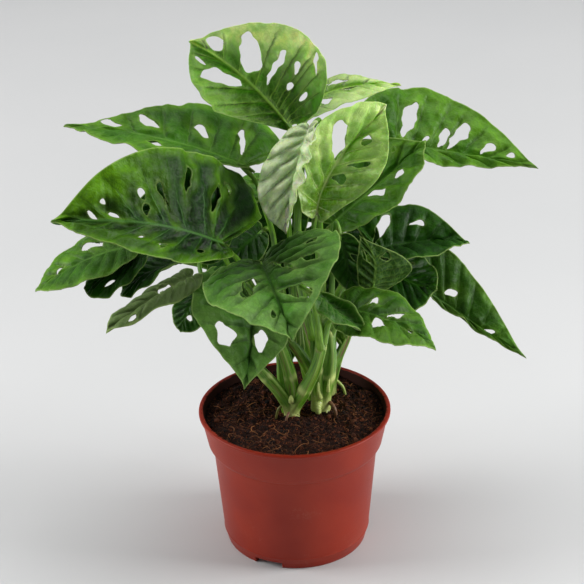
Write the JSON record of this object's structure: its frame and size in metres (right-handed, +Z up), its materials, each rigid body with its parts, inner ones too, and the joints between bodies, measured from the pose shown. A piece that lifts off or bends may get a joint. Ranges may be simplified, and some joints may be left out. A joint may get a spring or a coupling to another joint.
{
  "type": "potted monstera adansonii",
  "caption": "Potted climbing aroid with heart-shaped, pointed leaves full of oval holes, on green petioles, in a tapered plastic nursery pot filled with soil.",
  "frame": {"origin": "centre of the pot's foot, on the surface that the pot stands on", "axes": "+Z up; -Y towards the front, where the lowest front leaves hang over the rim; +X to the right seen from the front"},
  "size_m": [0.3041, 0.2075, 0.3361],
  "materials": {
    "pot_plastic": "satin terracotta",
    "peat": "matte, crumbly",
    "stem": "satin, fresh",
    "leaf": "satin, waxy",
    "young_leaf": "glossy, fresh"
  },
  "bodies": {
    "root": {"pot": "pot_plastic", "soil": "peat", "cane_front": "stem", "cane_middle": "stem", "cane_left": "stem", "cane_back": "stem", "cane_right": "stem", "leaf_crown": "young_leaf", "leaf_crown_rear": "young_leaf", "leaf_right_high": "leaf", "leaf_centre_young": "young_leaf", "leaf_centre_right": "leaf", "leaf_right_middle": "leaf", "leaf_right_hanging": "leaf", "leaf_right_upturned": "leaf", "leaf_right_inner": "leaf", "leaf_right_low": "leaf", "leaf_front_curled": "leaf", "leaf_front_heart": "leaf", "leaf_front_low": "leaf", "leaf_left_broad": "leaf", "leaf_left_low_outer": "leaf", "leaf_left_low_middle": "leaf", "leaf_left_low_inner": "leaf", "leaf_left_rolled": "leaf", "leaf_left_small": "leaf", "leaf_left_high": "leaf", "leaf_centre_crinkled": "young_leaf", "leaf_right_shaded": "leaf", "leaf_left_shaded": "leaf", "leaf_back_high_left": "leaf", "leaf_back_high": "leaf", "leaf_back_high_right": "leaf", "leaf_back_left": "leaf", "leaf_back_middle": "leaf", "leaf_back_right": "leaf", "leaf_back_low_left": "leaf", "leaf_back_low_right": "leaf"}
  },
  "joints": []
}
